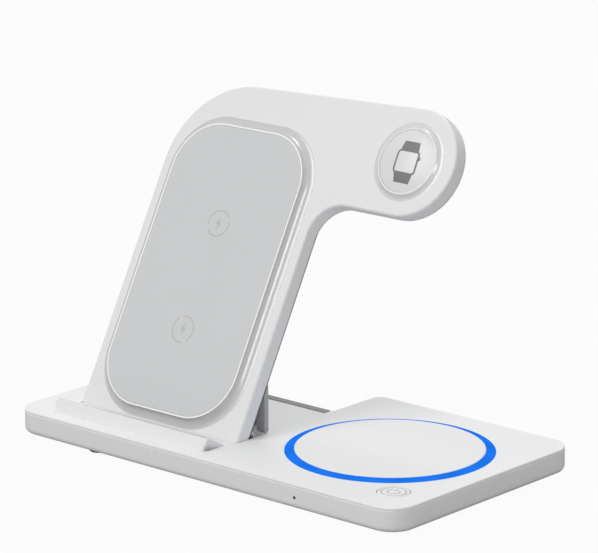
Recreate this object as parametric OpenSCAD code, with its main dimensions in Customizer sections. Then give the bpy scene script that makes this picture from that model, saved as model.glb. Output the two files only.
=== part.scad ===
// Three-place charging station: a flat base with a lit disc, and a leaning
// panel with an arm that folds back flat. Origin: centre of the base's
// footprint, at the bottom of the rubber feet. +X to the right, +Y to the rear.

/* [Base] */
// Length of the base
base_l = 190; // [180:1:220]
// Depth of the right-hand side of the base
base_d = 104.2; // [98:0.1:120]
// Height of the base's side, feet apart
base_h = 9.4; // [9:0.1:14]
// Corner radius of the base in plan
base_r = 10; // [6:0.5:14]
// Depth of the left-hand side, from the front edge to the notch
left_d = 76.2; // [74:0.1:86]
// Place of the notch's side wall, right of the middle
notch_x = 0; // [-1:0.1:1.5]
// Corner radius beside the notch
notch_r = 4; // [2:0.5:6]
// Inner radius of the notch's corner
notch_in_r = 1.5; // [1:0.1:2.5]
// Wall of the tub
tub_wall = 1.8; // [1.4:0.1:2.2]
// Floor of the tub
tub_floor = 1.6; // [1.2:0.1:1.8]
// Rounding of the tub's bottom edge
tub_round = 2.2; // [1:0.1:2.6]
// Height of the lid's visible edge
lid_edge = 1.1; // [0.9:0.1:1.6]
// Thickness of the lid
lid_t = 2.2; // [2:0.1:2.6]
// Chamfer on both sides of the line between lid and tub
seam_chamfer = 0.3; // [0.1:0.05:0.4]

/* [Feet and screws] */
// Height that the feet stand out
foot_h = 1; // [0.8:0.1:2]
// Diameter of a foot
foot_dia = 7.5; // [6:0.5:9]
// Depth of a foot's seat
foot_seat = 0.5; // [0.3:0.1:0.7]
// Diameter of a screw's shank
screw_dia = 1.7; // [1.4:0.1:2]
// Diameter of a screw's head
screw_head_dia = 3.4; // [3:0.1:4]
// Height of a screw's head
screw_head_h = 0.9; // [0.7:0.1:1]
// Diameter of a screw boss
boss_dia = 5; // [4.4:0.1:6]

/* [Charging disc and light] */
// Place of the disc, right of the middle
disc_x = 47.9; // [46:0.1:50]
// Place of the disc, behind the middle
disc_y = 1.3; // [-3:0.1:5]
// Outer radius of the light ring
ring_r = 38.9; // [37:0.1:41]
// Width of the light ring, seen from above
ring_w = 3.5; // [2.5:0.1:5]
// Height of the disc above the lid
disc_rise = 1.5; // [0.8:0.1:2]
// Depth of the ring's seat in the lid
ring_seat = 1; // [0.6:0.1:1.2]
// Number of light windows under the ring
light_count = 12; // [8:1:20]

/* [Button and inlet] */
// Place of the button, right of the middle
button_x = 80.1; // [79:0.1:81]
// Place of the button, behind the middle
button_y = -35.4; // [-37:0.1:-34]
// Diameter of the button
button_dia = 12; // [10:0.1:13]
// Travel of the button
button_travel = 0.6; // [0.3:0.1:0.8]
// Width of the inlet's metal shell
inlet_w = 8.94; // [8.9:0.01:9]
// Height of the inlet's metal shell
inlet_h = 3.26; // [3.2:0.01:3.3]
// Depth of the inlet's metal shell
inlet_d = 7.4; // [6.5:0.1:9]
// Diameter of the small status light
status_dia = 1.2; // [0.8:0.1:1.6]

/* [Ledge] */
// Height of the ledge above the base
ledge_h = 4.6; // [3:0.1:7]
// Front edge of the ledge, behind the middle
ledge_front_y = -46; // [-47:0.1:-45]
// Left end of the ledge
ledge_left = -80.4; // [-82:0.1:-76]
// Right end of the ledge
ledge_right = -1.9; // [-5:0.1:-1]
// Corner radius of the ledge in plan
ledge_r = 3.3; // [1:0.1:4]

/* [Panel] */
// Angle of the panel above the horizontal
panel_angle = 61.6; // [58:0.1:66]
// Front foot of the panel, behind the middle
panel_foot_y = -29.9; // [-30.5:0.1:-29]
// Width of the panel's column
panel_w = 80.6; // [78:0.1:84]
// Place of the column's right side
panel_right = 0; // [-1:0.1:0.5]
// Thickness of the panel
panel_t = 6.6; // [6.2:0.1:8]
// Height of the arm's underside, along the panel
arm_under = 95.6; // [90:0.1:105]
// Radius of the arm's round end
arm_r = 21; // [19:0.1:23]
// Place of the arm's round end
arm_x = 35.7; // [30:0.1:42]
// Radius of the large corner, top left
corner_r = 35; // [28:0.5:38]
// Height of the large corner's top, along the panel
corner_top = 134.8; // [130:0.1:137]
// Radius of the fillet between column and arm
fillet_r = 13.5; // [8:0.5:16]
// Wall of the panel's shells
panel_wall = 1.6; // [1.3:0.1:1.8]

/* [Phone pad and watch disc] */
// Width of the phone pad's plateau
pad_w = 65.4; // [60:0.1:68]
// Height of the phone pad's plateau
pad_h = 113.8; // [104:0.1:115]
// Lower edge of the plateau, along the panel
pad_low = 3.7; // [3.7:0.1:6]
// Corner radius of the plateau
pad_r = 20; // [14:0.5:26]
// Rise of the plateau above the panel
pad_rise = 3.1; // [2.4:0.1:3.4]
// Width of the hollow flank round the plateau
pad_flank = 3.7; // [3.2:0.1:4]
// Radius of the watch disc's plateau
watch_r = 12.9; // [12:0.1:14]
// Rise of the watch disc's plateau
watch_rise = 1.3; // [1:0.1:1.8]
// Width of the hollow flank round the watch disc
watch_flank = 2.6; // [2:0.1:3.2]
// Width of the bright rim round the pad and the disc
rim_w = 0.7; // [0.5:0.1:1]
// Depth of the seats of pad and disc
insert_seat = 0.9; // [0.6:0.1:1]

/* [Hinges and prop] */
// Radius of the panel hinge's barrels
knuckle_r = 2.4; // [2:0.1:2.5]
// Radius of the panel hinge's pins
pin_r = 1.2; // [0.8:0.05:1.3]
// Width of a panel knuckle
knuckle_w = 9; // [6:0.5:12]
// Depth of the hinge axis under the lid's top
hinge_drop = 1.2; // [1:0.1:1.4]
// Thickness of the prop plate
prop_t = 2.1; // [1.8:0.1:2.3]
// Middle of the prop plate, behind the middle
prop_y = -12.9; // [-13.3:0.1:-12.5]
// Radius of the prop's hinge wire
wire_r = 0.5; // [0.4:0.05:0.6]

/* [Clearances] */
// Gap round seated pieces
seat_gap = 0.1; // [0.05:0.01:0.15]
// Gap round pieces that move
run_gap = 0.3; // [0.2:0.05:0.4]
// Radial gap of a pin in a moving barrel
pin_gap = 0.06; // [0.03:0.01:0.1]
// Radial gap of a pin in a fixed lug
lug_gap = 0.02; // [0.01:0.01:0.03]

/* [Hidden] */
$fn = 14;
eps = 0.01;
joint_hair = 0.02;

// Base, derived
front_y = -base_d / 2;
rear_y = base_d / 2;
left_x = -base_l / 2;
right_x = base_l / 2;
notch_y = front_y + left_d;
base_z = foot_h;
top_z = foot_h + base_h;
seam_z = top_z - lid_edge;
lid_under_z = top_z - lid_t;
floor_z = base_z + tub_floor;
skirt_in = tub_wall + seat_gap;
skirt_t = 1.2;
skirt_drop = 1.6;
pipe_z = base_z + 4.3;

// Panel, derived
wall_in = panel_wall + seat_gap;
panel_left = panel_right - panel_w;
panel_mid = panel_right - panel_w / 2;
panel_low = -1.2;
arm_c = [panel_right + arm_x, arm_under + arm_r];
corner_c = [panel_left + corner_r, corner_top - corner_r];
arm_reach = norm(arm_c - corner_c);
arm_lean = atan2(arm_c[1] - corner_c[1], arm_c[0] - corner_c[0]);
top_dir = arm_lean + acos((corner_r - arm_r) / arm_reach);
fillet_c = [panel_right + fillet_r, arm_under - fillet_r];
cover_t = 1.4;
cover_in = -panel_t + cover_t;
plate_in = -panel_wall;
plateau_in = plate_in / 2;

// Hinge, derived: the axis lies behind the panel, so that the panel folds
// back on top of the folded prop
fold_gap = 0.35;
prop_lift = 0.15;
hinge_z = top_z - hinge_drop;
hinge_off = hinge_drop + prop_lift + prop_t + fold_gap;
back_y = panel_foot_y + panel_t * sin(panel_angle);
back_z = top_z - panel_t * cos(panel_angle);
hinge_s = (hinge_z - back_z + hinge_off * cos(panel_angle)) / sin(panel_angle);
hinge_y = back_y + hinge_s * cos(panel_angle) + hinge_off * sin(panel_angle);
wire_z = top_z + prop_lift + prop_t / 2;
knuckle_x = [panel_left + 12.6, panel_right - 12.6];
web_t = 2 * knuckle_r - 0.8;
web_w = knuckle_w - 0.4;
lug_w = 5;
well_front = panel_foot_y + panel_low * cos(panel_angle) - run_gap;
well_rear = prop_y - prop_t / 2 - 0.7;
well_left = panel_left - run_gap;
well_right = panel_right + run_gap;
well_floor = hinge_z - knuckle_r - 0.9;
well_wall = 1;
prop_left = panel_left + run_gap;
prop_right = panel_right - run_gap;
prop_lug_w = 4;
prop_lug_x = [panel_left + 6.5, panel_mid, panel_right - 6.5];
strip_w = 3.6;
strip_seat = 0.8;
strip_proud = 0.3;

// Ledge pegs and rest strip, derived
peg_dia = 3;
peg_x = [ledge_left + 12, (ledge_left + ledge_right) / 2, ledge_right - 12];
peg_y = ledge_front_y + 5;
strip_end = 0.6;

// Inside, derived
board_t = 1;
board_z = floor_z + 1.8;
board_top = board_z + board_t;
board_x = [disc_x - ring_r + 1, disc_x + ring_r - 1];
chip_h = 0.9;
inlet_z = board_z + board_t / 2;
inlet_sheet = 0.3;
sheet_in = inlet_sheet + lug_gap;
inlet_in = 0.1;
flange_t = 0.8;
cap_proud = 0.1;
cap_low = lid_under_z - run_gap - flange_t;
switch_top = cap_low - button_travel - seat_gap;
boss_screw_l = 5;
panel_screw_l = cover_t + 3.5;
screw_end = 0.3;
window_r = 1.1;
light_size = 1.6;
lid_round = 0.4;
panel_board_z = cover_in + 1;
panel_board_t = 0.8;
watch_coil_t = 0.9;
coil_t = 1;
base_coil_r = ring_r - 14.9;
phone_coil_r = pad_w / 2 - 12.2;
phone_coil_off = phone_coil_r + 0.5;
ferrite_half = [phone_coil_r + 3.5, phone_coil_off + phone_coil_r + 3.5];
ferrite_t = 0.6;
coil_top = lid_under_z;
seat_z = top_z - ring_seat;
pad_c = [panel_mid, pad_low + pad_h / 2];
pad_seat_h = pad_rise - insert_seat;
pad_floor = pad_seat_h - 1;
watch_seat_h = watch_rise - insert_seat;
watch_floor = watch_seat_h - 1;

// Screw and foot places
base_boss_xy = [[left_x + 7, front_y + 26], [left_x + 7, notch_y - 7], [notch_x + 7, rear_y - 7],
    [right_x - 7, rear_y - 7], [right_x - 6, front_y + 8], [disc_x - 38, front_y + 6]];
foot_xy = [[left_x + 39.5, front_y + 6.1], [right_x - 13, front_y + 7.6], [right_x - 13, rear_y - 15],
    [notch_x + 12, rear_y - 15], [left_x + 25, notch_y - 8]];
panel_boss_xu = [[panel_left + 4.6, 26], [panel_left + 4.6, 92], [panel_right - 4.6, 26],
    [panel_right - 4.6, 78], [panel_mid, corner_top - 6], [panel_right + 12, arm_under + 8],
    [panel_right + 12, arm_under + 2 * arm_r - 7]];

// Rectangle with its own radius at each corner, from the lower left one round
module corner_rect(low, high, r) {
    difference() {
        translate(low) square(high - low);
        for (c = [[low[0], low[1], r[0], 0], [high[0], low[1], r[1], 90], [high[0], high[1], r[2], 180],
                  [low[0], high[1], r[3], 270]])
            if (c[2] > 0)
                translate([c[0], c[1]]) rotate(c[3]) difference() {
                    translate([-1, -1]) square(c[2] + 1);
                    translate([c[2], c[2]]) circle(c[2]);
                }
    }
}

// Outline of the base, drawn in by an inset
module base_outline(inset = 0) {
    corner_rect([notch_x + inset, front_y + inset], [right_x - inset, rear_y - inset],
        [0, base_r - inset, base_r - inset, max(notch_r - inset, 0.4)]);
    corner_rect([left_x + inset, front_y + inset], [notch_x + inset + 1, notch_y - inset],
        [base_r - inset, 0, 0, base_r - inset]);
    difference() {
        translate([notch_x - notch_in_r, notch_y - inset]) square(notch_in_r + inset);
        translate([notch_x - notch_in_r, notch_y + notch_in_r]) circle(notch_in_r + inset);
    }
}

// A path is a list of straight runs ["line", from, to] and bends
// ["bend", centre, radius, first angle, last angle], with the shape on its left
function base_path() = [
    ["line", [left_x + base_r, front_y], [right_x - base_r, front_y]],
    ["bend", [right_x - base_r, front_y + base_r], base_r, -90, 0],
    ["line", [right_x, front_y + base_r], [right_x, rear_y - base_r]],
    ["bend", [right_x - base_r, rear_y - base_r], base_r, 0, 90],
    ["line", [right_x - base_r, rear_y], [notch_x + notch_r, rear_y]],
    ["bend", [notch_x + notch_r, rear_y - notch_r], notch_r, 90, 180],
    ["line", [notch_x, rear_y - notch_r], [notch_x, notch_y + notch_in_r]],
    ["bend", [notch_x - notch_in_r, notch_y + notch_in_r], notch_in_r, 0, -90],
    ["line", [notch_x - notch_in_r, notch_y], [left_x + base_r, notch_y]],
    ["bend", [left_x + base_r, notch_y - base_r], base_r, 90, 180],
    ["line", [left_x, notch_y - base_r], [left_x, front_y + base_r]],
    ["bend", [left_x + base_r, front_y + base_r], base_r, 180, 270]];

function polar(c, r, a) = c + r * [cos(a), sin(a)];

function pad_path() = let (w = pad_w / 2, h = pad_h / 2, r = pad_r) [
    ["line", pad_c + [r - w, -h], pad_c + [w - r, -h]],
    ["bend", pad_c + [w - r, r - h], r, -90, 0],
    ["line", pad_c + [w, r - h], pad_c + [w, h - r]],
    ["bend", pad_c + [w - r, h - r], r, 0, 90],
    ["line", pad_c + [w - r, h], pad_c + [r - w, h]],
    ["bend", pad_c + [r - w, h - r], r, 90, 180],
    ["line", pad_c + [-w, h - r], pad_c + [-w, r - h]],
    ["bend", pad_c + [r - w, r - h], r, 180, 270]];

// Carries a flat profile along a path: its x is the distance outside the
// path and its y the height
module sweep(path) {
    for (s = path)
        if (s[0] == "line")
            translate([s[1][0], s[1][1], 0])
                rotate([0, 0, atan2(s[2][1] - s[1][1], s[2][0] - s[1][0])])
                    rotate([90, 0, 90]) linear_extrude(norm(s[2] - s[1])) mirror([1, 0]) children();
        else if (s[4] > s[3])
            translate([s[1][0], s[1][1], 0]) rotate([0, 0, s[3]])
                rotate_extrude(angle = s[4] - s[3], $fn = 20) translate([s[2], 0]) children();
        else
            translate([s[1][0], s[1][1], 0]) rotate([0, 0, s[4]])
                rotate_extrude(angle = s[3] - s[4], $fn = 20) translate([s[2], 0]) mirror([1, 0]) children();
}

// What a rounding of radius r takes off an edge, above (up = 1) or below
module round_profile(z, r, up) {
    difference() {
        translate([-r, up > 0 ? z - r : z - 0.5]) square([r + 0.5, r + 0.5]);
        translate([-r, z - up * r]) circle(r);
    }
}

// Hollow flank that rises from the face to a plateau
module flank_profile(w, h) {
    rho = (w * w + h * h) / (2 * h);
    difference() {
        translate([-0.5, -0.5]) square([w + 0.5, h + 0.5]);
        translate([w, rho]) circle(rho);
        translate([w, -1]) square([1, h + 2]);
    }
}

module pad_rect(inset) {
    corner_rect(pad_c - [pad_w, pad_h] / 2 + [inset, inset], pad_c + [pad_w, pad_h] / 2 - [inset, inset],
        [1, 1, 1, 1] * (pad_r - inset));
}

// Outline of the seven-shaped panel, drawn in by an inset. Its straight edges
// run a hair inside the arcs that they meet, so that every joint is a crossing
module panel_outline(inset = 0) {
    low = panel_low + inset;
    left = panel_left + inset;
    right = panel_right - inset;
    under = arm_under + inset;
    hair = inset + joint_hair;
    polygon([[left, low], [right, low], [right, fillet_c[1] + 2], [right + 1, under - 1],
        [fillet_c[0] - 2, under], [arm_c[0], under + joint_hair],
        polar(arm_c, arm_r - hair, top_dir), polar(corner_c, corner_r - hair, top_dir),
        corner_c - [corner_r - hair, 0], [left, corner_c[1] - 10]]);
    translate(corner_c) circle(corner_r - inset, $fn = 20);
    translate(arm_c) circle(arm_r - inset, $fn = 20);
    difference() {
        translate([right - 1, fillet_c[1]]) square(fillet_r + inset + 1);
        translate(fillet_c) circle(fillet_r + inset + joint_hair);
    }
}

// Stands what is drawn in the panel's own plane (x, along, outwards) in place
module on_panel() {
    translate([0, panel_foot_y, top_z]) rotate([panel_angle, 0, 0]) children();
}

// A bar along X from its section in Y and Z
module bar(x0, x1) {
    translate([x0, 0, 0]) rotate([90, 0, 90]) linear_extrude(x1 - x0) children();
}

module rod(x0, x1, y, z, r) {
    translate([x0, y, z]) rotate([0, 90, 0]) cylinder(r = r, h = x1 - x0);
}

module rounded_slot(w, h, d) {
    rotate([90, 0, 0]) linear_extrude(d) {
        square([w - h, h], center = true);
        for (s = [-1, 1]) translate([s * (w - h) / 2, 0]) circle(d = h);
    }
}

// A flat coil: rings of wire side by side, on a thin backing
module flat_coil(r_in, r_out, t) {
    pitch = (r_out - r_in) / 8;
    rotate_extrude($fn = 14) {
        translate([r_in, t * 0.45]) square([r_out - r_in, t * 0.55]);
        for (i = [0:7]) translate([r_in + pitch * (i + 0.08), 0]) square([pitch * 0.84, t * 0.5]);
    }
}

module screw(length) {
    cylinder(d1 = screw_head_dia, d2 = screw_dia, h = screw_head_h);
    cylinder(d = screw_dia, h = length);
}

module screw_hole(depth) {
    translate([0, 0, -1]) cylinder(d = screw_head_dia + 2 * lug_gap, h = 1);
    cylinder(d1 = screw_head_dia + 2 * lug_gap, d2 = screw_dia + 2 * lug_gap, h = screw_head_h);
    cylinder(d = screw_dia + 2 * lug_gap, h = depth);
}

// Top of the base: plate, skirt, screw bosses, hinge well and lugs
module base_lid() {
    color("whitesmoke") difference() {
        union() {
            translate([0, 0, seam_z]) linear_extrude(lid_edge) base_outline();
            translate([0, 0, lid_under_z]) linear_extrude(lid_t - lid_edge + eps)
                base_outline(skirt_in);
            translate([0, 0, lid_under_z - skirt_drop]) linear_extrude(skirt_drop + eps) difference() {
                base_outline(skirt_in);
                base_outline(skirt_in + skirt_t);
            }
            for (p = base_boss_xy)
                translate([p[0], p[1], floor_z]) cylinder(d = boss_dia, h = lid_under_z - floor_z + eps);
            translate([well_left - well_wall, well_front - well_wall, well_floor - well_wall])
                cube([well_right - well_left + 2 * well_wall, well_rear - well_front + 2 * well_wall,
                    lid_under_z - well_floor + well_wall + eps]);
        }
        sweep(base_path()) translate([0, seam_z]) rotate(45)
            square(seam_chamfer * sqrt(2), center = true);
        sweep(base_path()) round_profile(top_z, lid_round, 1);
        for (p = base_boss_xy)
            translate([p[0], p[1], floor_z - eps])
                cylinder(d = screw_dia + 2 * lug_gap, h = boss_screw_l - 1);
        translate([well_left, well_front, well_floor])
            cube([well_right - well_left, well_rear - well_front, top_z]);
        translate([disc_x, disc_y, seat_z]) cylinder(r = ring_r + seat_gap, h = 10, $fn = 28);
        for (i = [0:light_count - 1]) translate([disc_x, disc_y, 0]) rotate(360 / light_count * (i + 0.5))
            translate([ring_r - ring_w / 2, 0, 0]) cylinder(r = window_r, h = 20);
        translate([button_x, button_y, 0]) cylinder(d = button_dia + 2 * run_gap, h = 20);
        translate([panel_left, notch_y - strip_w, top_z - strip_seat])
            cube([panel_w - strip_end, strip_w + 1, 5]);
        for (x = peg_x) translate([x, peg_y, 0]) cylinder(d = peg_dia + 2 * seat_gap, h = 20);
    }
    color("whitesmoke") for (c = knuckle_x, s = [-1, 1])
        hinge_lug(c + s * (knuckle_w / 2 + run_gap + lug_w / 2));
    color("whitesmoke") for (x = prop_lug_x) prop_lug(x);
}

// A lug in the well that holds a hinge pin
module hinge_lug(x) {
    difference() {
        union() {
            rod(x - lug_w / 2, x + lug_w / 2, hinge_y, hinge_z, knuckle_r);
            translate([x - lug_w / 2, hinge_y - knuckle_r, well_floor - eps])
                cube([lug_w, 2 * knuckle_r, hinge_z - well_floor + eps]);
        }
        rod(x - lug_w, x + lug_w, hinge_y, hinge_z, pin_r + lug_gap);
    }
}

// A lug on the lid that holds the prop's wire
module prop_lug(x) {
    difference() {
        union() {
            rod(x - prop_lug_w / 2, x + prop_lug_w / 2, prop_y, wire_z, prop_t / 2);
            translate([x - prop_lug_w / 2, prop_y - prop_t / 2, top_z - eps])
                cube([prop_lug_w, prop_t, wire_z - top_z + eps]);
        }
        rod(x - prop_lug_w, x + prop_lug_w, prop_y, wire_z, wire_r + lug_gap);
    }
}

// Lower part of the base: side wall and floor
module base_tub() {
    color("gainsboro") difference() {
        translate([0, 0, base_z]) linear_extrude(seam_z - base_z) base_outline();
        translate([0, 0, floor_z]) linear_extrude(20) base_outline(tub_wall);
        sweep(base_path()) round_profile(base_z, tub_round, -1);
        sweep(base_path()) translate([0, seam_z]) rotate(45)
            square(seam_chamfer * sqrt(2), center = true);
        for (p = foot_xy)
            translate([p[0], p[1], base_z - 1]) cylinder(d = foot_dia + 2 * seat_gap, h = 1 + foot_seat);
        for (p = base_boss_xy) translate([p[0], p[1], base_z]) screw_hole(boss_screw_l);
        translate([disc_x, front_y - 1, pipe_z]) rotate([-90, 0, 0])
            cylinder(d = status_dia + 2 * lug_gap, h = tub_wall + 2);
        translate([disc_x, rear_y + 1, inlet_z])
            rounded_slot(inlet_w + 2 * seat_gap, inlet_h + 2 * seat_gap, tub_wall + 2);
    }
}

// Raised disc inside the light ring
module charging_disc() {
    color("white") translate([disc_x, disc_y, seat_z]) rotate_extrude($fn = 28) difference() {
        square([ring_r - ring_w - seat_gap, ring_seat + disc_rise]);
        translate([ring_r - ring_w - seat_gap, ring_seat + disc_rise]) rotate(45) square(0.6, center = true);
    }
}

// Clear ring whose top slopes up to the disc
module light_ring() {
    color("dodgerblue") translate([disc_x, disc_y, seat_z]) rotate_extrude($fn = 28)
        polygon([[ring_r - ring_w, 0], [ring_r, 0], [ring_r, ring_seat + 0.1],
            [ring_r - ring_w, ring_seat + disc_rise - 0.3]]);
}

module base_coil() {
    color("peru") translate([disc_x, disc_y, coil_top - coil_t]) flat_coil(10, base_coil_r, coil_t);
}

module base_ferrite() {
    color("dimgray") translate([disc_x, disc_y, coil_top - coil_t - ferrite_t])
        cylinder(r = base_coil_r + 2, h = ferrite_t);
}

// Board of the base on its posts, with its larger parts
module base_circuit_board() {
    color("darkgreen") difference() {
        union() {
            translate([0, 0, board_z]) linear_extrude(board_t)
                corner_rect([board_x[0], front_y + 4], [board_x[1], rear_y - 4.5], [2, 2, 2, 2]);
            translate([disc_x + 6, disc_y + 12, board_top - eps]) cube([12, 9, chip_h]);
            translate([disc_x - 20, disc_y + 10, board_top - eps]) cube([7, 7, chip_h]);
            for (x = [board_x[0] + 6, board_x[1] - 6], y = [front_y + 14, rear_y - 22])
                translate([x, y, floor_z]) cylinder(d = 4, h = board_z - floor_z + eps);
        }
        translate([disc_x - inlet_w / 2 - run_gap, rear_y - inlet_in - inlet_d - run_gap, 0])
            cube([inlet_w + 2 * run_gap, 20, 20]);
        for (p = base_boss_xy) translate([p[0], p[1], 0]) cylinder(d = boss_dia + 1, h = 20);
        translate([button_x - 6.5, button_y - 6.5, board_top]) cube([13, 13, 5]);
    }
}

// Small light sources on the board, under the ring
module ring_lights() {
    color("white") for (i = [0:light_count - 1])
        translate([disc_x, disc_y, board_top]) rotate(360 / light_count * (i + 0.5))
            translate([ring_r - (ring_w + light_size) / 2, -light_size / 2, 0])
                cube([light_size, light_size, 0.7]);
}

// Round cap with a flange that the lid holds down
module button_cap() {
    color("whitesmoke") translate([button_x, button_y, 0]) rotate_extrude() difference() {
        union() {
            translate([0, cap_low]) square([button_dia / 2, top_z + cap_proud - cap_low]);
            translate([0, cap_low]) square([button_dia / 2 + 1, flange_t]);
        }
        translate([button_dia / 2, top_z + cap_proud]) rotate(45) square(0.5, center = true);
        translate([button_dia / 2 - 1.2, top_z - 0.15]) square([0.4, 1]);
    }
}

module button_switch() {
    color("black") translate([button_x, button_y, board_top]) {
        translate([-2.6, -2.6, 0]) cube([5.2, 5.2, 0.45]);
        cylinder(d = 2.4, h = switch_top - board_top);
    }
}

// Short clear rod in the small hole of the front wall
module status_light_pipe() {
    color("dimgray") translate([disc_x, front_y + 0.15, pipe_z]) rotate([-90, 0, 0])
        cylinder(d = status_dia, h = 3.6);
}

// Metal shell of the power inlet, open at the rear
module usb_c_inlet() {
    color("silver") translate([disc_x, rear_y - inlet_in, inlet_z]) difference() {
        rounded_slot(inlet_w, inlet_h, inlet_d);
        translate([0, 1, 0])
            rounded_slot(inlet_w - 2 * inlet_sheet, inlet_h - 2 * inlet_sheet, inlet_d + 1 - 0.4);
    }
}

module inlet_tongue() {
    color("black") translate([disc_x, rear_y - inlet_in - inlet_d + 0.4, inlet_z]) {
        translate([-3.34, 0, -0.35]) cube([6.68, 5, 0.7]);
        translate([0, 0.8, 0])
            rounded_slot(inlet_w - 2 * sheet_in, inlet_h - 2 * sheet_in, 0.8);
    }
}

module rubber_feet() {
    color("dimgray") for (p = foot_xy) translate([p[0], p[1], 0]) rotate_extrude() difference() {
        square([foot_dia / 2, foot_h + foot_seat]);
        translate([foot_dia / 2, 0]) rotate(45) square(0.4, center = true);
    }
}

module base_screws() {
    color("silver") for (p = base_boss_xy) translate([p[0], p[1], base_z]) screw(boss_screw_l - screw_end);
}

// Bar that holds a phone's lower edge: its front lies parallel to the panel
// and its top square to it
module phone_ledge() {
    lean = ledge_h / tan(panel_angle);
    back = ledge_front_y + lean + ledge_h * tan(panel_angle);
    color("whitesmoke") intersection() {
        bar(ledge_left, ledge_right)
            polygon([[ledge_front_y, top_z], [ledge_front_y + lean * 0.88, top_z + ledge_h * 0.88],
                [ledge_front_y + lean + 0.5, top_z + ledge_h],
                [ledge_front_y + lean + 1.1, top_z + ledge_h - 0.18],
                [back, top_z + 0.15], [back, top_z]]);
        translate([0, 0, top_z - 1]) linear_extrude(ledge_h + 2)
            corner_rect([ledge_left, ledge_front_y], [ledge_right, back + 1], [ledge_r, ledge_r, 0, 0]);
    }
    color("whitesmoke") for (x = peg_x) translate([x, peg_y, top_z - lid_t + 0.3])
        cylinder(d = peg_dia, h = lid_t);
}

// Dark strip along the rear edge of the left side
module fold_rest_strip() {
    color("dimgray") translate([panel_left + seat_gap, notch_y - strip_w + seat_gap, top_z - strip_seat])
        cube([panel_w - strip_end - 2 * seat_gap, strip_w - 2 * seat_gap, strip_seat + strip_proud]);
}

module hinge_pins() {
    reach = knuckle_w / 2 + run_gap + lug_w;
    color("silver") for (c = knuckle_x) rod(c - reach, c + reach, hinge_y, hinge_z, pin_r);
}

module prop_wire() {
    color("silver") rod(prop_left + 0.3, prop_right - 0.3, prop_y, wire_z, wire_r);
}

// Plate that stands under the panel's back and folds down behind it
module prop_plate() {
    half = prop_t / 2;
    reach = fold_gap / sin(90 - panel_angle);
    tip_front = back_height(prop_y - half) - reach;
    tip_rear = back_height(prop_y + half) - reach;
    color("lightgray") difference() {
        union() {
            bar(prop_left, prop_right) polygon([[prop_y - half, wire_z], [prop_y + half, wire_z],
                [prop_y + half, tip_rear], [prop_y - half, tip_front]]);
            rod(prop_left, prop_right, prop_y, wire_z, half);
        }
        rod(prop_left - 1, prop_right + 1, prop_y, wire_z, wire_r + pin_gap);
        for (x = prop_lug_x) translate([x - prop_lug_w / 2 - run_gap, prop_y - 2 * prop_t, top_z])
            cube([prop_lug_w + 2 * run_gap, 4 * prop_t, prop_lift + prop_t + run_gap]);
    }
}

// Height of the panel's back above a place on the base
function back_height(y) = back_z + (y - back_y) * tan(panel_angle);

// Front of the panel: face, side wall, raised plateaus and screw bosses
module panel_front_shell() {
    color("whitesmoke") on_panel() difference() {
        union() {
            difference() {
                translate([0, 0, -panel_t]) linear_extrude(panel_t) panel_outline();
                translate([0, 0, -panel_t - 1]) linear_extrude(panel_t + 1 + plate_in)
                    panel_outline(panel_wall);
            }
            translate([0, 0, plateau_in]) linear_extrude(pad_rise - plateau_in) pad_rect(0);
            sweep(pad_path()) flank_profile(pad_flank, pad_rise);
            translate([arm_c[0], arm_c[1], plateau_in]) cylinder(r = watch_r, h = watch_rise - plateau_in);
            translate([arm_c[0], arm_c[1], 0]) rotate_extrude($fn = 20) translate([watch_r, 0])
                flank_profile(watch_flank, watch_rise);
            for (p = panel_boss_xu) translate([p[0], p[1], cover_in]) cylinder(d = 4, h = -cover_in);
        }
        translate([0, 0, pad_seat_h]) linear_extrude(10) pad_rect(rim_w);
        translate([0, 0, -5]) linear_extrude(pad_floor + 5) pad_rect(panel_wall);
        translate([arm_c[0], arm_c[1], watch_seat_h]) cylinder(r = watch_r - rim_w, h = 10);
        translate([arm_c[0], arm_c[1], -5]) cylinder(r = watch_r - panel_wall, h = watch_floor + 5);
        for (p = panel_boss_xu) translate([p[0], p[1], cover_in - eps])
            cylinder(d = screw_dia + 2 * lug_gap, h = 3.6);
    }
}

// Back plate of the panel with the two hinge knuckles
module panel_rear_cover() {
    color("whitesmoke") difference() {
        union() {
            on_panel() translate([0, 0, -panel_t]) linear_extrude(cover_t) panel_outline(wall_in);
            for (c = knuckle_x) {
                rod(c - knuckle_w / 2, c + knuckle_w / 2, hinge_y, hinge_z, knuckle_r);
                on_panel() translate([c - web_w / 2, hinge_s - web_t / 2, -panel_t - hinge_off])
                    cube([web_w, web_t, hinge_off + 0.5]);
            }
        }
        for (c = knuckle_x) rod(c - knuckle_w, c + knuckle_w, hinge_y, hinge_z, pin_r + pin_gap);
        on_panel() for (p = panel_boss_xu) translate([p[0], p[1], -panel_t]) screw_hole(3);
    }
}

module phone_pad() {
    color("silver") on_panel() translate([0, 0, pad_seat_h]) linear_extrude(insert_seat)
        pad_rect(rim_w + seat_gap);
}

// Slightly domed disc for the watch
module watch_disc() {
    dome_r = 90;
    color("lightgray") on_panel() translate([arm_c[0], arm_c[1], 0]) rotate_extrude() intersection() {
        translate([0, watch_seat_h]) square([watch_r - rim_w - seat_gap, 3]);
        translate([0, watch_rise + 0.7 - dome_r]) circle(dome_r, $fn = 720);
    }
}

module upper_coil() {
    color("peru") on_panel() translate([pad_c[0], pad_c[1] + phone_coil_off, pad_floor - coil_t])
        flat_coil(8, phone_coil_r, coil_t);
}

module lower_coil() {
    color("peru") on_panel() translate([pad_c[0], pad_c[1] - phone_coil_off, pad_floor - coil_t])
        flat_coil(8, phone_coil_r, coil_t);
}

module phone_ferrite() {
    color("dimgray") on_panel() translate([0, 0, pad_floor - coil_t - ferrite_t]) linear_extrude(ferrite_t)
        corner_rect(pad_c - ferrite_half, pad_c + ferrite_half, [6, 6, 6, 6]);
}

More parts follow.
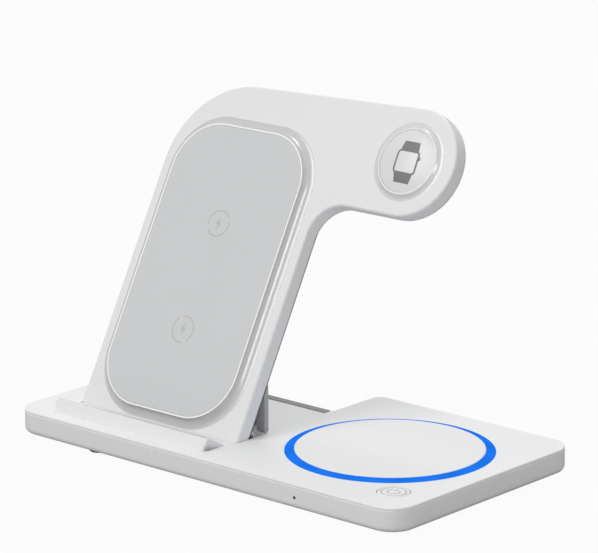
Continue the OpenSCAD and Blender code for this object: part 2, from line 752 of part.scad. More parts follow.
// Board in the panel, on short posts of its own
module panel_circuit_board() {
    color("darkgreen") on_panel() {
        translate([0, 0, panel_board_z]) linear_extrude(panel_board_t)
            corner_rect([panel_left + 12, 12], [panel_right - 12, 50], [2, 2, 2, 2]);
        for (x = [panel_left + 16, panel_right - 16], u = [16, 46])
            translate([x, u, cover_in]) cylinder(d = 3, h = panel_board_z - cover_in + eps);
        translate([panel_mid - 6, 26, panel_board_z + panel_board_t - eps]) cube([12, 9, 0.8]);
    }
}

module watch_coil() {
    color("peru") on_panel() translate([arm_c[0], arm_c[1], watch_floor - watch_coil_t])
        flat_coil(4.4, 10.6, watch_coil_t);
}

module watch_ferrite() {
    color("dimgray") on_panel() translate([arm_c[0], arm_c[1], watch_floor - watch_coil_t - ferrite_t])
        difference() {
            cylinder(r = 10.8, h = ferrite_t);
            translate([0, 0, -1]) cylinder(r = 3.6, h = 3);
        }
}

module watch_magnet() {
    color("silver") on_panel() translate([arm_c[0], arm_c[1], watch_floor - 2]) cylinder(r = 3.3, h = 2);
}

module panel_screws() {
    color("silver") on_panel() for (p = panel_boss_xu)
        translate([p[0], p[1], -panel_t]) screw(panel_screw_l - screw_end);
}

base_lid();
base_tub();
charging_disc();
light_ring();
base_coil();
base_ferrite();
base_circuit_board();
ring_lights();
button_cap();
button_switch();
status_light_pipe();
usb_c_inlet();
inlet_tongue();
rubber_feet();
base_screws();
phone_ledge();
fold_rest_strip();
hinge_pins();
prop_wire();
prop_plate();
panel_front_shell();
panel_rear_cover();
phone_pad();
watch_disc();
upper_coil();
lower_coil();
phone_ferrite();
panel_circuit_board();
watch_coil();
watch_ferrite();
watch_magnet();
panel_screws();
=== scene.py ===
# %% [markdown]
# # A three-place charging station
#
# The imported CAD model gives every shape and size. This script gives it its
# looks: it rounds the edges that catch the light, prints the marks, mixes the
# plastics, and sets up the lamps and the camera of the photograph.
#
# The frame comes first.

import math

import bmesh
import bpy
from mathutils import Matrix, Vector


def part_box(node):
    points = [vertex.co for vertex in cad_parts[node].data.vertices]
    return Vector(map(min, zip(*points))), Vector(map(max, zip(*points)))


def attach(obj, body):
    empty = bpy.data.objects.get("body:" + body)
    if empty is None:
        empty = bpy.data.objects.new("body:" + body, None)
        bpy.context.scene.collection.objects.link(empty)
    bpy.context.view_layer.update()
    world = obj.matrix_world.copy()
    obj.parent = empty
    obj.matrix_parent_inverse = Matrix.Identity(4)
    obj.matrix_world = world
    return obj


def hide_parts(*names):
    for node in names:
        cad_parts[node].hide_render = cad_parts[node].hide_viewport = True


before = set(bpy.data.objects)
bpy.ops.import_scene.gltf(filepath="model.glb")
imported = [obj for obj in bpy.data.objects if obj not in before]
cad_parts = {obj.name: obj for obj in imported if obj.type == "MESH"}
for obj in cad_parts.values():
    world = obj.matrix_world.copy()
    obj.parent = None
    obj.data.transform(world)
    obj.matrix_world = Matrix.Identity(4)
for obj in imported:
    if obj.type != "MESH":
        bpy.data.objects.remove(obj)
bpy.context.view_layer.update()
MM = 0.001

# %% [markdown]
# The panel leans back, so its pieces are easiest to describe in the panel's
# own plane: x across, u up along the panel, h out of its face. `on_panel`
# turns such a point into a place in the frame. The foot of the panel's face
# and its angle are those of the CAD source.

# %% The panel's own plane
PANEL_ANGLE = math.radians(61.6)
PANEL_THICK = 6.6 * MM
PANEL_FOOT_Y = -29.9 * MM
LID_TOP = 10.4 * MM
panel_foot = Vector((0, PANEL_FOOT_Y, LID_TOP))
panel_plane = Matrix.Translation(panel_foot) @ Matrix.Rotation(PANEL_ANGLE, 4, "X")
to_panel = panel_plane.inverted()


def on_panel(x, u, h):
    return panel_plane @ Vector((x, u, h))


def height(place):
    """How far a place in the frame stands out of the panel's face."""
    return (to_panel @ place).z


def middle(box):
    return (box[0] + box[1]) / 2


panel_up = (on_panel(0, 1, 0) - on_panel(0, 0, 0)).normalized()
panel_out = (on_panel(0, 0, 1) - on_panel(0, 0, 0)).normalized()
watch_centre = to_panel @ middle(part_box("watch_disc"))
pad_centre = to_panel @ middle(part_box("phone_pad"))
print("watch disc at x, u:", round(watch_centre.x / MM, 1), round(watch_centre.y / MM, 1))
print("phone pad at x, u:", round(pad_centre.x / MM, 1), round(pad_centre.y / MM, 1))

# %% [markdown]
# ## Finishes
#
# Shader maths reads best as ordinary arithmetic. `Signal` wraps one output
# socket, and each operator adds the Math node that does the sum. Any other
# node comes from `new_node`: its type, its settings, and what its sockets get.

# %% Arithmetic on shader sockets


class Signal:
    def __init__(self, tree, socket):
        self.tree = tree
        self.socket = socket

    def math(self, operation, *others):
        node = self.tree.nodes.new("ShaderNodeMath")
        node.operation = operation
        for i, value in enumerate((self, *others)):
            if isinstance(value, Signal):
                self.tree.links.new(value.socket, node.inputs[i])
            else:
                node.inputs[i].default_value = value
        return Signal(self.tree, node.outputs[0])

    def __add__(self, other):
        return self.math("ADD", other)

    def __mul__(self, other):
        return self.math("MULTIPLY", other)

    def __sub__(self, other):
        return self.math("SUBTRACT", other)

    def __rsub__(self, other):
        return (self * -1.0) + other

    __radd__ = __add__
    __rmul__ = __mul__

    def clamp(self):
        return self.math("MINIMUM", 1.0).math("MAXIMUM", 0.0)


def new_node(tree, kind, settings=None, **values):
    node = tree.nodes.new("ShaderNode" + kind)
    for key, value in (settings or {}).items():
        setattr(node, key, value)
    for key, value in values.items():
        socket = node.inputs[key.replace("_", " ")]
        if isinstance(value, Signal):
            tree.links.new(value.socket, socket)
        else:
            socket.default_value = value
    return node


# %% [markdown]
# A `Finish` is one material. `add` puts a node in it and hands back one of its
# outputs, and `link` feeds the surface. A grey is given as an 8-bit screen
# value, and `shade` turns it into the share of the light that it reflects.

# %% One class for a finish


class Finish:
    made = 0

    def __init__(self, name, **inputs):
        Finish.made += 1
        self.material = bpy.data.materials.new(name)
        self.material.use_nodes = True
        self.tree = self.material.node_tree
        self.surface = self.tree.nodes["Principled BSDF"]
        for socket, value in inputs.items():
            self.surface.inputs[socket.replace("_", " ")].default_value = value
        self.place = self.add("TexCoord", "Object")

    def add(self, kind, out, settings=None, **values):
        return Signal(self.tree, new_node(self.tree, kind, settings, **values).outputs[out])

    def link(self, socket, signal):
        self.tree.links.new(signal.socket, self.surface.inputs[socket])

    def noise(self, grain, detail=2.0):
        """Noise whose cells are about `grain` metres across."""
        return self.add("TexNoise", "Fac", Vector=self.place, Scale=1 / grain, Detail=detail)

    def blend(self, dark, light, amount):
        """Colour between two others as the signal goes from 0 to 1."""
        return self.add(
            "Mix", "Result", {"data_type": "RGBA"}, A=(*dark, 1), B=(*light, 1), Factor=amount
        )

    def tint(self, dark, light, amount):
        self.link("Base Color", self.blend(dark, light, amount))

    def bump(self, rise, depth):
        """Bumps `depth` metres deep where the signal `rise` goes from 0 to 1."""
        self.link("Normal", self.add("Bump", "Normal", Height=rise, Distance=depth, Strength=1.0))


def shade(value, warmth=0.0):
    """Linear colour of an 8-bit grey, a little cooler or warmer."""
    c = value / 255
    linear = c / 12.92 if c <= 0.04045 else ((c + 0.055) / 1.055) ** 2.4
    return (linear * (1 + warmth), linear, linear * (1 - warmth))


print("a grey of 231 reflects", round(shade(231)[1], 3), "of the light")

# %% [markdown]
# The plastics. A moulded plastic isn't one flat colour: it has a fine spark
# texture, slow changes of shade where the melt flowed, and a gloss that
# varies a little. The body's is satin and nearly white; the phone pad's is a
# finer, matt, slightly rubbery grey. Grain and depth are in millimetres.

# %% Plastics and rubber
FLOW_SIZE = 28 * MM
GLOSS_SPREAD = 0.12


def moulded(name, light, dark, rough, grain, depth, warmth=0.0, gloss=0.5):
    finish = Finish(name, Roughness=rough, Specular_IOR_Level=gloss)
    flow = finish.noise(FLOW_SIZE, detail=3.0)
    finish.tint(shade(dark, warmth), shade(light, warmth), flow)
    fine = finish.noise(grain * MM, detail=3.0)
    finish.link("Roughness", (fine * GLOSS_SPREAD + (rough - GLOSS_SPREAD / 2)).clamp())
    finish.bump(fine, depth * MM)
    return finish.material


SATIN = {"grain": 0.35, "depth": 0.004}
POLISHED = {"grain": 0.35, "depth": 0.0005}
INK_SKIN = {"grain": 0.2, "depth": 0.001}
COOL = -0.006
FAINTLY_COOL = -0.004
COOLEST = -0.012
DULL = 0.3
BRIGHT = 1.0

white_plastic = moulded("white_satin_plastic", 231, 229, 0.42, **SATIN, warmth=COOL)
# The lid is its own moulding, and its white is lighter than the tub's: part of that is painted
# light on the base's top.
lid_painted_light = moulded("white_lid_painted_light", 238, 235, 0.55, **SATIN, warmth=COOL, gloss=DULL)
# The flanks' greys, darker than the panel's white, are painted shade; the rim's near white is a
# painted highlight.
flank_painted_shade = moulded("polished_flank_painted_shade", 200, 196, 0.22, **POLISHED, warmth=COOL, gloss=BRIGHT)
small_flank_painted_shade = moulded(
    "polished_small_flank_painted_shade", 214, 210, 0.2, **POLISHED, warmth=COOL, gloss=BRIGHT
)
rim_painted_highlight = moulded("bright_rim_painted_highlight", 250, 248, 0.2, **POLISHED)
tub_plastic = moulded("white_tub_plastic", 228, 226, 0.40, **SATIN, warmth=FAINTLY_COOL)
pad_plastic = moulded("grey_pad_skin", 210, 207, 0.6, grain=0.25, depth=0.006, warmth=COOLEST)
# The shelf's darker grey is painted shade on the ledge's white plastic.
shelf_painted_shade = moulded("matt_shelf_painted_shade", 172, 168, 0.65, grain=0.25, depth=0.005, warmth=COOL)
disc_plastic = moulded(
    "white_disc_plastic", 235, 232, 0.5, grain=0.5, depth=0.003, warmth=FAINTLY_COOL, gloss=DULL
)
watch_plastic = moulded("watch_face_plastic", 226, 223, 0.3, grain=0.4, depth=0.004, warmth=COOL)
# The prop's grey, darker than the body's white, is painted shade of the narrow gap between panel
# and prop.
prop_painted_shade = moulded("grey_prop_painted_shade", 168, 165, 0.5, grain=0.3, depth=0.006)
print_ink = moulded("dark_grey_print", 118, 114, 0.5, **INK_SKIN)
# This grey prints the power mark and also paints the shade of the groove round it.
button_ink_and_groove_shade = moulded("mid_grey_print_and_groove_shade", 146, 142, 0.5, **INK_SKIN)
faint_ink = moulded("faint_grey_print", 190, 187, 0.55, **INK_SKIN)
dark_rubber = moulded("dark_grey_rubber", 112, 102, 0.75, grain=0.3, depth=0.012)
strip_rubber = moulded("grey_strip_rubber", 150, 144, 0.7, grain=0.3, depth=0.008)
smoked = moulded("smoked_clear_plastic", 30, 25, 0.12, grain=0.5, depth=0.001)
black_plastic = moulded("black_plastic", 42, 36, 0.45, grain=0.3, depth=0.004)
ferrite_sheet = moulded("ferrite_sheet", 66, 54, 0.7, grain=0.2, depth=0.01)
print("plastics and rubbers:", Finish.made)

# %% [markdown]
# The lit ring glows from inside. Lamps under it stand in a circle, so the
# light swells a little over each of them; the angle round the disc gives that.

# %% The lit ring
ring_centre = middle(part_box("light_ring"))
RING_LAMPS = 12
GLOW_BETWEEN = (0.008, 0.165, 0.78)
GLOW_OVER_LAMP = (0.012, 0.185, 0.86)
UNLIT_DARK = (0.002, 0.01, 0.05)
UNLIT_LIGHT = (0.003, 0.015, 0.07)


def lit_ring():
    finish = Finish("lit_blue_ring", Roughness=0.5, Emission_Strength=1.0, Specular_IOR_Level=0.0)
    x = finish.add("SeparateXYZ", "X", Vector=finish.place) - ring_centre.x
    y = finish.add("SeparateXYZ", "Y", Vector=finish.place) - ring_centre.y
    angle = y.math("ARCTAN2", x)
    swell = (angle * RING_LAMPS).math("COSINE") * 0.5 + 0.5
    finish.link("Emission Color", finish.blend(GLOW_BETWEEN, GLOW_OVER_LAMP, swell))
    finish.tint(UNLIT_DARK, UNLIT_LIGHT, finish.noise(2 * MM))
    return finish.material


ring_light = lit_ring()
print("lamps under the ring:", RING_LAMPS)

# %% [markdown]
# Metals, and the inner pieces that only show in a cut or an open view: wound
# copper, a lacquered board with its faint weave, and clear lamp caps.

# %% Metals and inner pieces
STREAK_SIZE = 1.2 * MM
STREAK_DEPTH = 0.002 * MM
STREAK_SPREAD = 0.15
CELL_SPREAD = 0.14
SPREAD_BELOW = 0.07


def metal(name, light, dark, rough):
    finish = Finish(name, Metallic=1.0)
    streaks = finish.noise(STREAK_SIZE, detail=5.0)
    finish.tint(shade(dark), shade(light), streaks)
    finish.link("Roughness", streaks * STREAK_SPREAD + (rough - SPREAD_BELOW))
    finish.bump(streaks, STREAK_DEPTH)
    return finish.material


def coloured(name, dark, light, rough, grain, depth, metallic=0.0):
    finish = Finish(name, Metallic=metallic)
    cells = finish.noise(grain * MM, detail=4.0)
    finish.tint(dark, light, cells)
    finish.link("Roughness", cells * CELL_SPREAD + (rough - SPREAD_BELOW))
    finish.bump(cells, depth * MM)
    return finish.material


steel = metal("bright_steel", 205, 190, 0.3)
copper = coloured(
    "copper_wire", (0.42, 0.15, 0.05), (0.60, 0.25, 0.11), 0.32, grain=0.4, depth=0.004,
    metallic=1.0,
)
board = coloured(
    "board_lacquer", (0.006, 0.045, 0.020), (0.010, 0.070, 0.032), 0.35, grain=1.5, depth=0.004
)
lamp_cap = coloured(
    "lamp_cap", (0.66, 0.66, 0.58), (0.80, 0.80, 0.72), 0.25, grain=0.3, depth=0.001
)
print("finishes so far:", Finish.made)

# %% [markdown]
# Each CAD node gets its finish by name.

# %% Dress the CAD nodes
FINISHES = {
    white_plastic: ["phone_ledge", "panel_front_shell", "panel_rear_cover"],
    lid_painted_light: ["base_lid", "button_cap"],
    tub_plastic: ["base_tub"],
    disc_plastic: ["charging_disc"],
    watch_plastic: ["watch_disc"],
    pad_plastic: ["phone_pad"],
    prop_painted_shade: ["prop_plate"],
    ring_light: ["light_ring"],
    dark_rubber: ["rubber_feet"],
    strip_rubber: ["fold_rest_strip"],
    smoked: ["status_light_pipe"],
    black_plastic: ["inlet_tongue", "button_switch"],
    steel: [
        "usb_c_inlet", "base_screws", "panel_screws", "hinge_pins", "prop_wire", "watch_magnet"
    ],
    ferrite_sheet: ["base_ferrite", "phone_ferrite", "watch_ferrite"],
    copper: ["base_coil", "upper_coil", "lower_coil", "watch_coil"],
    board: ["base_circuit_board", "panel_circuit_board"],
    lamp_cap: ["ring_lights"],
}


def paint(piece, material):
    piece.data.materials.clear()
    piece.data.materials.append(material)


finish_of = {node: material for material, nodes in FINISHES.items() for node in nodes}
for node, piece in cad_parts.items():
    paint(piece, finish_of[node])
print("dressed nodes:", len(finish_of), "of", len(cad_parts))

# %% [markdown]
# ## New pieces
#
# Every new piece starts as a bmesh in the frame's own coordinates, so the
# object that carries it stays at the origin. Smooth shading stops at edges
# of more than 40 degrees.

# %% From a bmesh to a piece
SMOOTH_ANGLE = math.radians(40)
print("smooth below degrees:", round(math.degrees(SMOOTH_ANGLE)))


def new_piece(name, shape, material):
    mesh = bpy.data.meshes.new(name)
    shape.to_mesh(mesh)
    shape.free()
    piece = bpy.data.objects.new(name, mesh)
    bpy.context.scene.collection.objects.link(piece)
    paint(piece, material)
    print(name, "faces:", len(mesh.polygons))
    return piece


def smooth(piece):
    piece.data.shade_smooth()
    piece.data.set_sharp_from_angle(angle=SMOOTH_ANGLE)


# %% [markdown]
# ## Edges that catch the light
#
# A moulded edge is never sharp, and in the photograph the panel's edge shows
# as a bright line. `rounded` copies a CAD node, joins the flat triangles back
# into whole faces, and bevels the edges that a test picks out.

# %% Round chosen edges of a node
SAME_PLACE = 0.002 * MM
SAME_PLANE = math.radians(0.4)


def rounded(node, passes, body):
    """passes is a list of (test, radius, segments); a test gets the edge."""
    shape = bmesh.new()
    shape.from_mesh(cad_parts[node].data)
    bmesh.ops.remove_doubles(shape, verts=shape.verts, dist=SAME_PLACE)
    bmesh.ops.dissolve_limit(
        shape, angle_limit=SAME_PLANE, verts=shape.verts, edges=shape.edges
    )
    for test, radius, segments in passes:
        shape.normal_update()
        chosen = [e for e in shape.edges if len(e.link_faces) == 2 and test(e)]
        print(node, "edges to round:", len(chosen))
        bmesh.ops.bevel(
            shape, geom=chosen, offset=radius, offset_type="OFFSET", segments=segments,
            profile=0.5, affect="EDGES", material=-1, clamp_overlap=False,
        )
    piece = new_piece(node + "_rounded", shape, finish_of[node])
    smooth(piece)
    flat = piece.modifiers.new("flat_faces", "WEIGHTED_NORMAL")
    flat.keep_sharp = True
    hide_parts(node)
    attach(piece, body)
    return piece


# %% [markdown]
# The panel's front and back edges are rounded: those between its side wall
# and its face or its back. The side wall is known by how far it reaches below
# the face. Angles between faces are in radians.

# %% Round the panel's edges
LEVEL = 0.05 * MM
STEEP = 1.2
WALL_TOP, WALL_BOTTOM = -2.2 * MM, -3 * MM
FACE_TOP = 0.1 * MM
FRONT_ROUND = 1.0 * MM
BACK_ROUND = 1.3 * MM


def on_outer_wall(edge):
    """True if one of the edge's faces is a side wall that goes down from near the face."""
    for face in edge.link_faces:
        levels = [height(v.co) for v in face.verts]
        if WALL_TOP < max(levels) < FACE_TOP and min(levels) < WALL_BOTTOM:
            return True
    return False


def wall_edge_at(level):
    def test(edge):
        if any(abs(height(v.co) - level) >= LEVEL for v in edge.verts):
            return False
        return edge.calc_face_angle(0) > STEEP and on_outer_wall(edge)

    return test


shell = rounded(
    "panel_front_shell",
    [(wall_edge_at(0), FRONT_ROUND, 5), (wall_edge_at(-PANEL_THICK), BACK_ROUND, 4)],
    "panel",
)

# %% [markdown]
# The flanks round the pad and the watch disc are polished, and their darker grey is painted shade.
# A thin rim along the top of the pad's is painted near white, a painted highlight. All are faces
# of the same shell, picked out by their height over the panel's face and by the way they look.

# %% Polish the flanks, paint shade on them and a highlight on the rim
PLAIN, FLANK, RIM, SMALL_FLANK = range(4)
WATCH_SPAN = 17 * MM
RAISED = 0.005 * MM
SAME_WAY = 0.999
for material in (flank_painted_shade, rim_painted_highlight, small_flank_painted_shade):
    shell.data.materials.append(material)
for face in shell.data.polygons:
    levels = [height(shell.data.vertices[i].co) for i in face.vertices]
    raised = max(levels) > RAISED and min(levels) > -LEVEL
    place = to_panel @ face.center
    from_watch = math.hypot(place.x - watch_centre.x, place.y - watch_centre.y)
    flat = face.normal.dot(panel_out) > SAME_WAY
    if raised and from_watch < WATCH_SPAN:
        face.material_index = PLAIN if flat else SMALL_FLANK
    elif raised:
        face.material_index = RIM if flat else FLANK
for label, index in (("flank", FLANK), ("rim", RIM), ("small flank", SMALL_FLANK)):
    print(label, "faces:", sum(face.material_index == index for face in shell.data.polygons))

# %% [markdown]
# The ledge and the prop get small radii in the same way, on their upper edges.

# %% Round the ledge and the prop
SMALL_ROUND = 0.3 * MM
LEDGE_FROM, LEDGE_SHARP = LID_TOP + 3.9 * MM, 0.35
PROP_FROM, PROP_SHARP = LID_TOP + 4 * MM, 0.5


def sharp_above(z, angle):
    def test(edge):
        high = min(v.co.z for v in edge.verts) > z
        return high and edge.calc_face_angle(0) > angle and edge.is_convex

    return test


ledge_edges = sharp_above(LEDGE_FROM, LEDGE_SHARP)
prop_edges = sharp_above(PROP_FROM, PROP_SHARP)
ledge = rounded("phone_ledge", [(ledge_edges, SMALL_ROUND, 3)], "base")
rounded("prop_plate", [(prop_edges, SMALL_ROUND, 3)], "prop")

# %% [markdown]
# The phone's lower edge stands on the ledge's shelf. It is matt, and its darker grey is painted
# shade.

# %% Paint shade on the shelf
NEARLY_SAME_WAY = 0.97
ledge.data.materials.append(shelf_painted_shade)
for face in ledge.data.polygons:
    face.material_index = int(face.normal.dot(panel_up) > NEARLY_SAME_WAY)
print("shelf faces:", sum(face.material_index for face in ledge.data.polygons))

# %% [markdown]
# ## Round pieces
#
# `turned` takes a section as points of radius and height, and spins it about
# its axis. The new piece stands in for a CAD node.

# %% Turn a section about its axis
MERGE = 0.001 * MM
ACROSS = Vector((1, 0, 0))
print("points closer than", MERGE / MM, "mm become one")


def turned(name, section, foot, axis, material, node, body, steps):
    shape = bmesh.new()
    points = [shape.verts.new(foot + r * ACROSS + h * axis) for r, h in section]
    lines = [shape.edges.new(pair) for pair in zip(points, points[1:])]
    bmesh.ops.spin(
        shape, geom=points + lines, cent=foot, axis=axis, angle=math.tau, steps=steps,
        use_merge=True,
    )
    bmesh.ops.remove_doubles(shape, verts=shape.verts, dist=MERGE)
    bmesh.ops.recalc_face_normals(shape, faces=shape.faces)
    piece = new_piece(name, shape, material)
    smooth(piece)
    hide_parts(node)
    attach(piece, body)


# %% [markdown]
# The charging disc and its ring are drawn a little lower than in CAD, so that
# the far side of the ring shows as a thin line. The disc's rim is rounded, and
# the ring slopes down and out. Heights are over the lid.

# %% The charging disc and its ring
DISC_R = 35.3 * MM
DISC_RISE = 1.0 * MM
DISC_ROUND = 0.3 * MM
RING_IN, RING_OUT = 35.4 * MM, 38.9 * MM
RING_LOW, RING_HIGH = 0.08 * MM, 0.8 * MM
SEAT = -0.95 * MM
RIM_STEPS = 6
DISC_STEPS = 128
up = Vector((0, 0, 1))
disc_foot = Vector((ring_centre.x, ring_centre.y, LID_TOP))
rim_r, rim_z = DISC_R - DISC_ROUND, DISC_RISE - DISC_ROUND
disc_section = [(0, DISC_RISE)]
for i in range(RIM_STEPS + 1):
    turn = math.radians(90 - 90 * i / RIM_STEPS)
    disc_section.append((rim_r + DISC_ROUND * math.cos(turn), rim_z + DISC_ROUND * math.sin(turn)))
disc_section += [(DISC_R, SEAT), (0, SEAT)]
ring_section = [
    (RING_IN, SEAT),
    (RING_OUT, SEAT),
    (RING_OUT, RING_LOW),
    (RING_IN, RING_HIGH),
    (RING_IN, SEAT),
]
turned("charging_disc_low", disc_section, disc_foot, up, disc_plastic,
       "charging_disc", "base", DISC_STEPS)
turned("light_ring_low", ring_section, disc_foot, up, ring_light,
       "light_ring", "base", DISC_STEPS)

# %% [markdown]
# ## Printed marks
#
# A mark is thin ink on a surface. It is drawn as flat loops of points, cut
# into small triangles where it has to follow a curved face, and laid one to
# three hundredths of a millimetre over what it is printed on.

# %% Lay ink on a surface
INK = 0.02 * MM
print("ink over the surface in mm:", INK / MM)


def printed(name, loops, surface, body, material, cuts=0):
    shape = bmesh.new()
    for loop in loops:
        shape.faces.new([shape.verts.new((x, y, 0)) for x, y in loop])
    bmesh.ops.recalc_face_normals(shape, faces=shape.faces)
    bmesh.ops.triangulate(shape, faces=shape.faces)
    if cuts:
        bmesh.ops.subdivide_edges(shape, edges=shape.edges, cuts=cuts, use_grid_fill=True)
    for v in shape.verts:
        v.co = surface(v.co.x, v.co.y)
    piece = new_piece(name, shape, material)
    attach(piece, body)


def arc(cx, cy, r, start, end, steps=24):
    turn = [math.radians(start + (end - start) * i / steps) for i in range(steps + 1)]
    return [(cx + r * math.cos(a), cy + r * math.sin(a)) for a in turn]


def band(cx, cy, r, width, start, end):
    """Part of a ring, cut into short four-sided pieces."""
    outer = arc(cx, cy, r + width / 2, start, end)
    inner = arc(cx, cy, r - width / 2, start, end)
    return [[outer[i], outer[i + 1], inner[i + 1], inner[i]] for i in range(len(outer) - 1)]


# %% [markdown]
# On the phone pad, two faint rings with a bolt show where the coils are. Each
# is listed with its place up the panel and the middles of its two gaps, in
# degrees round the ring.

# %% The marks on the phone pad
PAD_FACE = 3.1 * MM
RING_R = 5.1 * MM
RING_LINE = 0.55 * MM
BOLT_SIZE = 2.9 * MM
BOLT_HALF = [(0.18, 1.0), (-0.52, -0.14), (-0.04, -0.14)]
GAP_HALF = 12
mark_x = pad_centre.x - 0.1 * MM
PAD_MARKS = {"upper": (78.9 * MM, (28, 208)), "lower": (36.3 * MM, (118, 298))}


def bolt(cx, cy, size):
    points = BOLT_HALF + [(-x, -y) for x, y in BOLT_HALF]
    return [(cx + x * size, cy + y * size) for x, y in points]


def pad_surface(x, u):
    return on_panel(x, u, PAD_FACE + INK)


for label, (u, gaps) in PAD_MARKS.items():
    loops = [bolt(mark_x, u, BOLT_SIZE)]
    for gap in gaps:
        loops += band(mark_x, u, RING_R, RING_LINE, gap + GAP_HALF, gap + 180 - GAP_HALF)
    printed("charging_mark_" + label, loops, pad_surface, "panel", faint_ink)

# %% [markdown]
# The watch disc is a glossy dome, a little fuller than the CAD one, turned
# like the charging disc. Its section is an arc of the dome's radius, then the
# edge down to its seat.

# %% The watch disc's dome
DOME_R = 45.2 * MM
DOME_TOP = 2.8 * MM
DOME_EDGE = 12.1 * MM
DOME_SEAT = 0.45 * MM
DOME_RINGS = 20
DOME_STEPS = 96


def dome_height(away):
    return DOME_TOP - DOME_R + math.sqrt(DOME_R**2 - away**2)


dome_radii = [DOME_EDGE * i / DOME_RINGS for i in range(DOME_RINGS + 1)]
dome_section = [(r, dome_height(r)) for r in dome_radii]
dome_section += [(DOME_EDGE, DOME_SEAT), (0, DOME_SEAT)]
dome_foot = on_panel(watch_centre.x, watch_centre.y, 0)
turned("watch_dome", dome_section, dome_foot, panel_out, watch_plastic,
       "watch_disc", "panel", DOME_STEPS)

# %% [markdown]
# On the watch disc, a plain watch: a rounded frame, two strap ends and a
# crown. The ink follows the dome.

# %% The mark on the watch disc
CASE = (36.6 * MM, 115.9 * MM)
CASE_HALF = (5.15 * MM, 4.65 * MM)
CASE_R = 1.7 * MM
CASE_LINE = 0.75 * MM
OVERLAP = 0.05 * MM
STRAP_L = 3.4 * MM
STRAP_WIDE, STRAP_NARROW = 4.15 * MM, 3.4 * MM
CROWN_OUT = 0.6 * MM
CROWN_U = (117.0 * MM, 117.2 * MM, 118.4 * MM, 118.6 * MM)
DOME_INK = 1.5 * INK


def dome_surface(x, u):
    away = math.hypot(x - watch_centre.x, u - watch_centre.y)
    return on_panel(x, u, dome_height(away) + DOME_INK)


def rounded_frame(centre, half, r, line):
    """The outline of a rounded rectangle as a ring of short pieces."""
    def ring(inset):
        points = []
        for sx, sy, start in ((1, 1, 0), (-1, 1, 90), (-1, -1, 180), (1, -1, 270)):
            cx = centre[0] + sx * (half[0] - r)
            cy = centre[1] + sy * (half[1] - r)
            points += arc(cx, cy, r - inset, start, start + 90, 6)
        return points

    outer, inner = ring(0), ring(line)
    n = len(outer)
    return [[outer[i], outer[(i + 1) % n], inner[(i + 1) % n], inner[i]] for i in range(n)]


def strap(side):
    cx, edge = CASE[0], CASE[1] + side * (CASE_HALF[1] - OVERLAP)
    tip = edge + side * STRAP_L
    return [(cx - STRAP_WIDE, edge), (cx - STRAP_NARROW, tip),
            (cx + STRAP_NARROW, tip), (cx + STRAP_WIDE, edge)]


crown_x = CASE[0] + CASE_HALF[0] - OVERLAP
crown_reach = (0, CROWN_OUT, CROWN_OUT, 0)
crown = [(crown_x + reach, u) for reach, u in zip(crown_reach, CROWN_U)]
watch_loops = rounded_frame(CASE, CASE_HALF, CASE_R, CASE_LINE) + [strap(1), strap(-1), crown]
printed("watch_mark", watch_loops, dome_surface, "panel", print_ink, cuts=3)

# %% [markdown]
# On the button, the usual power mark: an open ring with a bar in its gap, printed. A thin dark
# line round it is painted shade in the groove.

# %% The mark on the button and the groove's painted shade
MARK_R = 2.3 * MM
MARK_LINE = 0.4 * MM
MARK_ENDS = (125, 415)
BAR_HALF = 0.2 * MM
BAR_LOW, BAR_HIGH = 0.6 * MM, 3.0 * MM
GROOVE_SHADE_R = 4.4 * MM
GROOVE_SHADE_WIDTH = 0.3 * MM
button_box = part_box("button_cap")
button_x, button_y, _ = middle(button_box)


def button_surface(x, y):
    return Vector((x, y, button_box[1].z + INK / 2))


bar = [(button_x + sx * BAR_HALF, button_y + y)
       for sx, y in ((-1, BAR_LOW), (1, BAR_LOW), (1, BAR_HIGH), (-1, BAR_HIGH))]
power_loops = band(button_x, button_y, MARK_R, MARK_LINE, *MARK_ENDS) + [bar]
groove_shade_loops = band(button_x, button_y, GROOVE_SHADE_R, GROOVE_SHADE_WIDTH, 0, 360)
printed("power_mark", power_loops, button_surface, "button", button_ink_and_groove_shade)
printed("button_groove_shade", groove_shade_loops, button_surface, "button", button_ink_and_groove_shade)

# %% [markdown]
# ## Camera, lamps and ground
#
# The camera was fitted to the object's edges in the photograph: a long lens,
# a little above the object, turned 41 degrees to its front.

# %% Camera
FOCAL_PX = 3391
IMAGE_W = 598
SENSOR = 36
CAMERA_AT = (0.8071, -0.9155, 0.3883)
PITCH = math.radians(90 - 14.69)
TURN = math.radians(41.24)
camera = bpy.data.objects.new("camera", bpy.data.cameras.new("camera"))
bpy.context.scene.collection.objects.link(camera)
camera.location = CAMERA_AT
camera.rotation_euler = (PITCH, 0, TURN)
camera.data.sensor_width = SENSOR
camera.data.lens = SENSOR * FOCAL_PX / IMAGE_W
camera.data.clip_start = 0.05
camera.data.clip_end = 20
bpy.context.scene.camera = camera
print("lens in mm:", round(camera.data.lens, 1))

# %% [markdown]
# Three soft lamps: a large one in front and to the left, one above and behind,
# which lays the soft shade of panel and ledge over the front of the base, and
# one at the right that makes the polished flanks sparkle. The right-hand sides
# stay in half shade.

# %% Lamps
AIM = Vector((0, 0, 0.05))
LAMPS = {
    "key": ((-0.55, -1.2, 1.2), 0.9, 11),
    "rear": ((-0.35, 0.75, 1.3), 0.5, 6.5),
    "side": ((0.95, -0.91, 0.78), 0.45, 4.6),
}
for name, (place, size, watts) in LAMPS.items():
    data = bpy.data.lights.new(name, "AREA")
    data.shape = "SQUARE"
    data.size = size
    data.energy = watts
    lamp = bpy.data.objects.new(name, data)
    lamp.location = place
    lamp.rotation_euler = (AIM - Vector(place)).to_track_quat("-Z", "Y").to_euler()
    bpy.context.scene.collection.objects.link(lamp)
    print(name, "lamp:", watts, "W,", round((AIM - Vector(place)).length, 2), "m away")

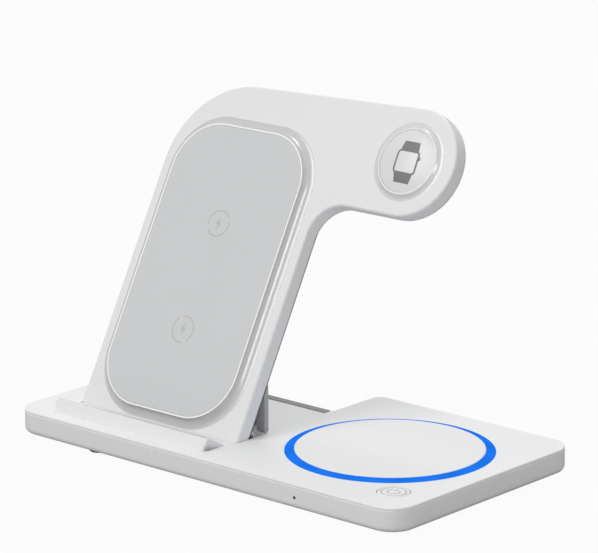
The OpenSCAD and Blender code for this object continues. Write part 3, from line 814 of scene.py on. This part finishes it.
# %% [markdown]
# The white behind the object is what the camera and mirror-like faces see; the
# light that falls on the object is a plain grey. The kind of ray tells the two
# apart: 1 for camera, mirror and glass rays, 0 for all others.

# %% World
AMBIENT = 0.42
world = bpy.data.worlds.new("studio")
world.use_nodes = True
bpy.context.scene.world = world
sky_tree = world.node_tree
ray_kind = new_node(sky_tree, "LightPath")
camera_ray, mirror_ray, glass_ray = (
    Signal(sky_tree, ray_kind.outputs[kind])
    for kind in ("Is Camera Ray", "Is Glossy Ray", "Is Transmission Ray")
)
direct = (camera_ray + mirror_ray + glass_ray).clamp()
strength = direct * (1 - AMBIENT) + AMBIENT
sky = sky_tree.nodes["Background"]
sky.inputs["Color"].default_value = (1, 1, 1, 1)
sky_tree.links.new(strength.socket, sky.inputs["Strength"])
print("ambient light:", AMBIENT, "of the white behind the object")

# %% [markdown]
# The ground is a plain pale floor. To the camera it glows almost white, so
# that only a faint shadow is left under the object; the light that it throws
# back is that of a mid grey.

# %% Ground
GROUND_HALF = 6.0
GLOW = 0.95
corners = [(-1, -1), (1, -1), (1, 1), (-1, 1)]
ground = bpy.data.meshes.new("ground")
ground.from_pydata([(x * GROUND_HALF, y * GROUND_HALF, 0) for x, y in corners], [], [(0, 1, 2, 3)])
floor = bpy.data.objects.new("ground", ground)
bpy.context.scene.collection.objects.link(floor)
pale = Finish("pale_ground", Roughness=0.9, Emission_Color=(1, 1, 1, 1), Specular_IOR_Level=0.0)
pale.tint(shade(180), shade(183), pale.noise(80 * MM))
glow = new_node(pale.tree, "Emission", Strength=1.0)
share = pale.add("LightPath", "Is Camera Ray") * GLOW
ground_mix = new_node(pale.tree, "MixShader")
output = pale.tree.nodes["Material Output"]
pale.tree.links.new(share.socket, ground_mix.inputs[0])
pale.tree.links.new(pale.surface.outputs[0], ground_mix.inputs[1])
pale.tree.links.new(glow.outputs[0], ground_mix.inputs[2])
pale.tree.links.new(ground_mix.outputs[0], output.inputs["Surface"])
paint(floor, pale.material)
bpy.context.scene.view_settings.view_transform = "Standard"
print("ground:", 2 * GROUND_HALF, "m square;", GLOW, "of what the camera sees is glow")
